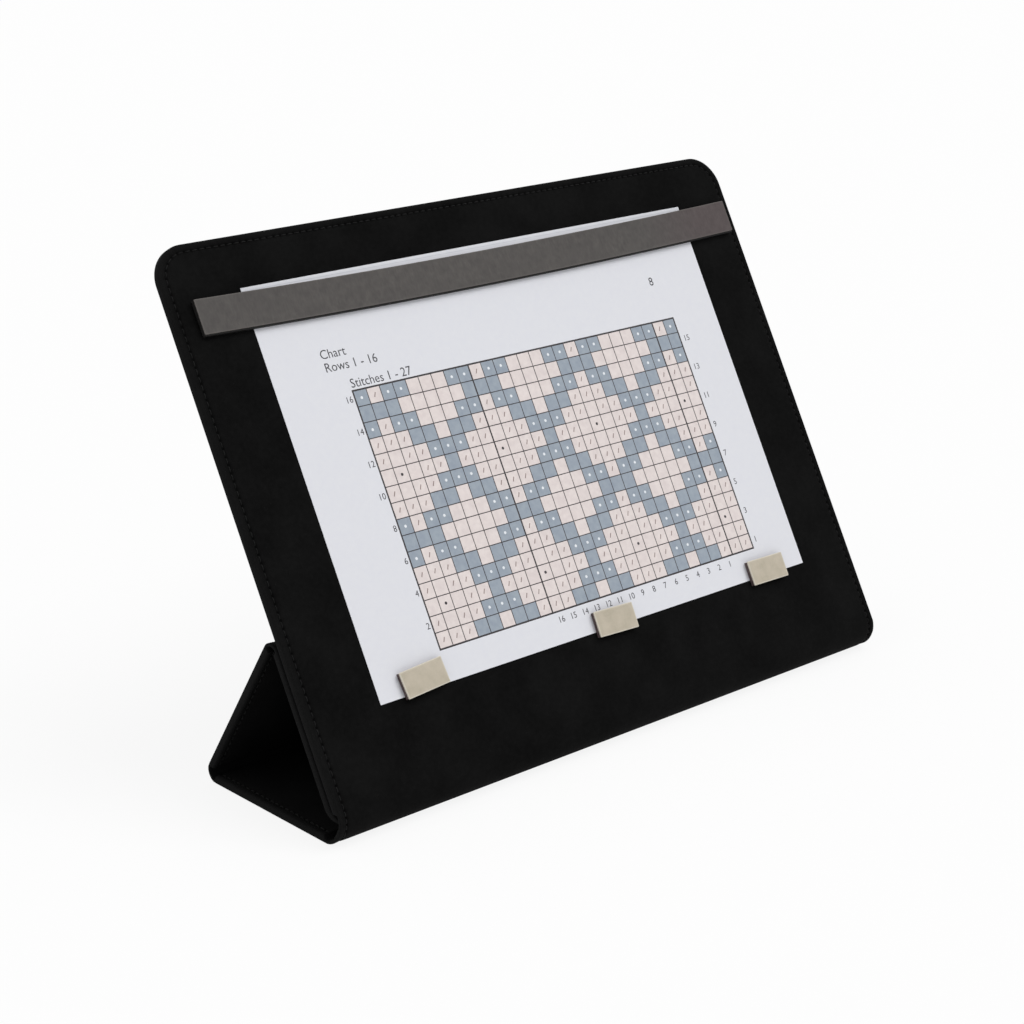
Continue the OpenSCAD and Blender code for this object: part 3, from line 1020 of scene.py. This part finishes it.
def make_sheet(sheet):
    """The paper, cut so that every cell and line of the chart is its own face."""
    x_lines = line_pairs(CHART_COLUMNS, CHART_LEFT, CELL_W, HEAVY_COLUMNS)
    y_lines = line_pairs(CHART_ROWS, CHART_LOW, CELL_H, (0, CHART_ROWS))
    xs = with_margins(x_lines, sheet.size[0])
    ys = with_margins(y_lines, sheet.size[1] - SHEET_TRIM)
    x0, y0 = xs.index(x_lines[0]), ys.index(y_lines[0])
    nx, ny = len(xs), len(ys)
    last_row = (ny - 1) * nx
    points = [(x, y, z) for z in (sheet.size[2], 0.0) for y in ys for x in xs]
    top = grid_faces(ny, nx)
    under = shifted(top, nx * ny)
    rim = list(range(nx)) + [r * nx + nx - 1 for r in range(1, ny)]
    rim += [last_row + k for k in range(nx - 2, -1, -1)] + [r * nx for r in range(ny - 2, 0, -1)]
    sides = [(a, b, nx * ny + b, nx * ny + a) for a, b in zip(rim, rim[1:] + rim[:1])]
    gaps = len(x_lines) - 1, len(y_lines) - 1
    tones = [cell_tone(c - x0, r - y0, *gaps) for r in range(ny - 1) for c in range(nx - 1)]
    tones += [PLAIN] * (len(under) + len(sides))
    faces = top + under + sides
    materials = [paper, ink_pink, ink_blue, ink_line]
    obj = make_object("chart_paper", sheet.place(points), faces, materials, "board", tones)
    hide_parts("chart_sheet")


def prism(outline, z_low, z_high):
    """A thin closed slab from a flat outline."""
    n = len(outline)
    points = [(x, y, z) for z in (z_low, z_high) for x, y in outline]
    faces = [tuple(range(n)), tuple(range(n, 2 * n))]
    faces += [(k, (k + 1) % n, n + (k + 1) % n, n + k) for k in range(n)]
    return points, faces


def dot_outline(x, y, radius, sides=10):
    """A round dot as a polygon."""
    angles = np.arange(sides) * 2 * math.pi / sides
    return [(x + radius * math.cos(a), y + radius * math.sin(a)) for a in angles]


def stroke_outline(x, y, half_x, half_y, half_width):
    """A slanted stroke centred at a point."""
    along = np.array([half_x, half_y])
    side = np.array([-half_y, half_x]) / np.hypot(half_x, half_y) * half_width
    ends = [along + side, -along + side, -along - side, along - side]
    return [(x + e[0], y + e[1]) for e in ends]


def cell_centre(column, row):
    """The middle of a cell, from the sheet's corner."""
    return CHART_LEFT + (column + 0.5) * CELL_W, CHART_LOW + (row + 0.5) * CELL_H


def make_prints(sheet, name, shapes, material):
    """Ink marks as thin slabs on the paper."""
    points, faces = [], []
    for more, links in shapes:
        faces += shifted(links, len(points))
        points += more
    obj = make_object(name, sheet.place(points), faces, material, "board")
    return obj


def make_marks(sheet):
    """The dots and strokes in the cells."""
    low, high = sheet.size[2] - INK, sheet.size[2] + INK
    white, dark, brown = [], [], []
    for column in range(CHART_COLUMNS):
        for row in range(CHART_ROWS):
            x, y = cell_centre(column, row)
            step = motif_step(column, row)
            if is_blue(column, row):
                if row % 2:
                    white.append(prism(dot_outline(x, y, WHITE_DOT), low, high))
            elif step == 0:
                dark.append(prism(dot_outline(x, y, DARK_DOT), low, high))
            elif step in STROKE_STEPS:
                brown.append(prism(stroke_outline(x, y, *STROKE), low, high))
    make_prints(sheet, "chart_white_dots", white, ink_white)
    make_prints(sheet, "chart_dark_dots", dark, ink_dark)
    make_prints(sheet, "chart_strokes", brown, ink_brown)


NUMBER_SIZE = 4.6
HEADER_SIZE = 6.6
LETTER_STEPS = 3
NUMBER_GAP = 1.2
RIGHT_GAP = 2.5
COLUMN_DROP = 4.4
RULE_DROP = 3.0
RULE_WIDTH = 0.35
PAGE_NUMBER = ("8", HEADER_SIZE, 258.2, 170.3, "CENTER")
HEADER = (
    ("Chart", HEADER_SIZE, 31.5, 168.6, "LEFT"),
    ("Rows 1 - 16", HEADER_SIZE, 31.8, 161.9, "LEFT"),
    ("Stitches 1 - 27", HEADER_SIZE, 43.4, 151.9, "LEFT"),
)


def lettering(text, size, x, y, align):
    """One piece of text as a thin solid, placed by its left, middle or right."""
    curve = bpy.data.curves.new("lettering", "FONT")
    curve.body = text
    curve.size = size
    curve.extrude = INK
    curve.align_x = align
    curve.align_y = "CENTER"
    curve.resolution_u = LETTER_STEPS
    obj = bpy.data.objects.new("lettering", curve)
    bpy.context.scene.collection.objects.link(obj)
    bpy.context.view_layer.update()
    settled = obj.evaluated_get(bpy.context.evaluated_depsgraph_get())
    mesh = bpy.data.meshes.new_from_object(settled)
    points = [(v.co.x + x, v.co.y + y, v.co.z) for v in mesh.vertices]
    faces = [tuple(p.vertices) for p in mesh.polygons]
    bpy.data.objects.remove(obj)
    bpy.data.curves.remove(curve)
    bpy.data.meshes.remove(mesh)
    return points, faces


def make_lettering(sheet):
    """The row, column and page numbers, the rule at the top and the header."""
    top = sheet.size[2]
    right = CHART_LEFT + CHART_WIDE + RIGHT_GAP

    def lifted(shape):
        return [(x, y, z + top) for x, y, z in shape[0]], shape[1]

    numbers = []
    for row in range(CHART_ROWS):
        y = cell_centre(0, row)[1]
        x, align = (CHART_LEFT - NUMBER_GAP, "RIGHT") if row % 2 else (right, "LEFT")
        numbers.append(lettering(str(row + 1), NUMBER_SIZE, x, y, align))
    for column in range(REPEAT_FIRST, REPEAT_LAST):
        x, y = cell_centre(column, 0)[0], CHART_LOW - COLUMN_DROP
        numbers.append(lettering(str(REPEAT_LAST - column), NUMBER_SIZE, x, y, "CENTER"))
    numbers.append(lettering(*PAGE_NUMBER))
    make_prints(sheet, "chart_numbers", [lifted(s) for s in numbers], ink_text)
    rule = [(0.0, -RULE_WIDTH), (sheet.size[0], -RULE_WIDTH), (sheet.size[0], 0.0), (0.0, 0.0)]
    rule = [(x, y + sheet.size[1] - RULE_DROP) for x, y in rule]
    make_prints(sheet, "chart_rule", [prism(rule, top - INK, top + INK)], ink_pale)
    header = [lettering(*line) for line in HEADER]
    make_prints(sheet, "chart_header", [lifted(s) for s in header], ink_text)


# ---------------------------------------------------------------- stage and light

FLOOR_HALF = 9.0
FLOOR_DROP = 0.0004
FLOOR_TONE = (0.9, 0.9, 0.9, 1)
FLOOR_ROUGHNESS = 0.9
FLOOR_GLOW = 0.88
WHITE = (1, 1, 1, 1)
WORLD_LIGHT = 0.5
KEY_SUN = ("key", 1.5, (-0.34, 0.4, -0.86), 40)
FILL_SUN = ("fill", 0.35, (0.75, -0.35, -0.55), 60)


def camera_share(tree):
    """1 for rays that show the background as it is: seen directly, mirrored or through glass."""
    path = tree.nodes.new("ShaderNodeLightPath")
    share = path.outputs["Is Camera Ray"]
    for name in ("Is Glossy Ray", "Is Transmission Ray"):
        either = tree.nodes.new("ShaderNodeMath")
        either.operation = "MAXIMUM"
        tree.links.new(share, either.inputs[0])
        tree.links.new(path.outputs[name], either.inputs[1])
        share = either.outputs[0]
    return share


def make_world():
    """Plain light from all round, seen as white."""
    world = bpy.data.worlds.new("studio")
    bpy.context.scene.world = world
    world.use_nodes = True
    tree = world.node_tree
    light = tree.nodes["Background"]
    light.inputs["Color"].default_value = WHITE
    light.inputs["Strength"].default_value = WORLD_LIGHT
    white = tree.nodes.new("ShaderNodeBackground")
    white.inputs["Color"].default_value = WHITE
    mix = tree.nodes.new("ShaderNodeMixShader")
    tree.links.new(camera_share(tree), mix.inputs[0])
    tree.links.new(light.outputs[0], mix.inputs[1])
    tree.links.new(white.outputs[0], mix.inputs[2])
    tree.links.new(mix.outputs[0], tree.nodes["World Output"].inputs["Surface"])


def make_floor():
    """A pale floor that looks white but keeps a soft shadow."""
    material = bpy.data.materials.new("floor")
    material.use_nodes = True
    tree = material.node_tree
    shader = tree.nodes["Principled BSDF"]
    shader.inputs["Base Color"].default_value = FLOOR_TONE
    shader.inputs["Roughness"].default_value = FLOOR_ROUGHNESS
    glow = tree.nodes.new("ShaderNodeEmission")
    share = tree.nodes.new("ShaderNodeMath")
    share.operation = "MULTIPLY"
    share.inputs[1].default_value = FLOOR_GLOW
    tree.links.new(camera_share(tree), share.inputs[0])
    mix = tree.nodes.new("ShaderNodeMixShader")
    tree.links.new(share.outputs[0], mix.inputs[0])
    tree.links.new(shader.outputs[0], mix.inputs[1])
    tree.links.new(glow.outputs[0], mix.inputs[2])
    tree.links.new(mix.outputs[0], tree.nodes["Material Output"].inputs["Surface"])
    h, z = FLOOR_HALF, -FLOOR_DROP
    corners = [(-h, -h, z), (h, -h, z), (h, h, z), (-h, h, z)]
    floor = make_object("floor", corners, [(0, 1, 2, 3)], material)


def make_sun(name, strength, toward, spread_deg):
    """A soft lamp that shines toward a direction."""
    data = bpy.data.lights.new(name, "SUN")
    data.energy = strength
    data.angle = math.radians(spread_deg)
    sun = bpy.data.objects.new(name, data)
    bpy.context.scene.collection.objects.link(sun)
    sun.rotation_mode = "QUATERNION"
    sun.rotation_quaternion = Vector(toward).to_track_quat("-Z", "Y")


# ---------------------------------------------------------------- the scene

make_camera()
marker_grey = marker_face_material()
marker_rubber = rubber_material("marker_magnet", linear(15, 14, 14), linear(25, 23, 22))
clip_beige = clip_face_material()
clip_rubber = rubber_material("clip_magnet", linear(66, 54, 55), linear(94, 79, 79))
greyboard = greyboard_material()

make_round(
    "board", board, CORNER_BOARD, "board_back_cloth", "board_front_cover", "board_back_cover"
)
make_straight("base", base, "base_panel")
make_straight("rear", rear, "rear_panel")
make_round("flap", flap, CORNER_FLAP, "flap_lining_cloth", "flap_outer_cover", "flap_lining")
make_folds(make_spine())
make_magnets()

sheet = Sheet()
make_sheet(sheet)
make_marks(sheet)
make_lettering(sheet)

for node in ("board_core", "base_core", "rear_core", "flap_core"):
    NODES[node].material_slots[0].material = greyboard
NODES["board_padding"].material_slots[0].material = foam_material()
NODES["board_steel_sheet"].material_slots[0].material = steel_material()
NODES["flap_magnets"].material_slots[0].material = nickel_material()

make_world()
make_floor()
make_sun(*KEY_SUN)
make_sun(*FILL_SUN)

bpy.context.scene.view_settings.view_transform = "Standard"
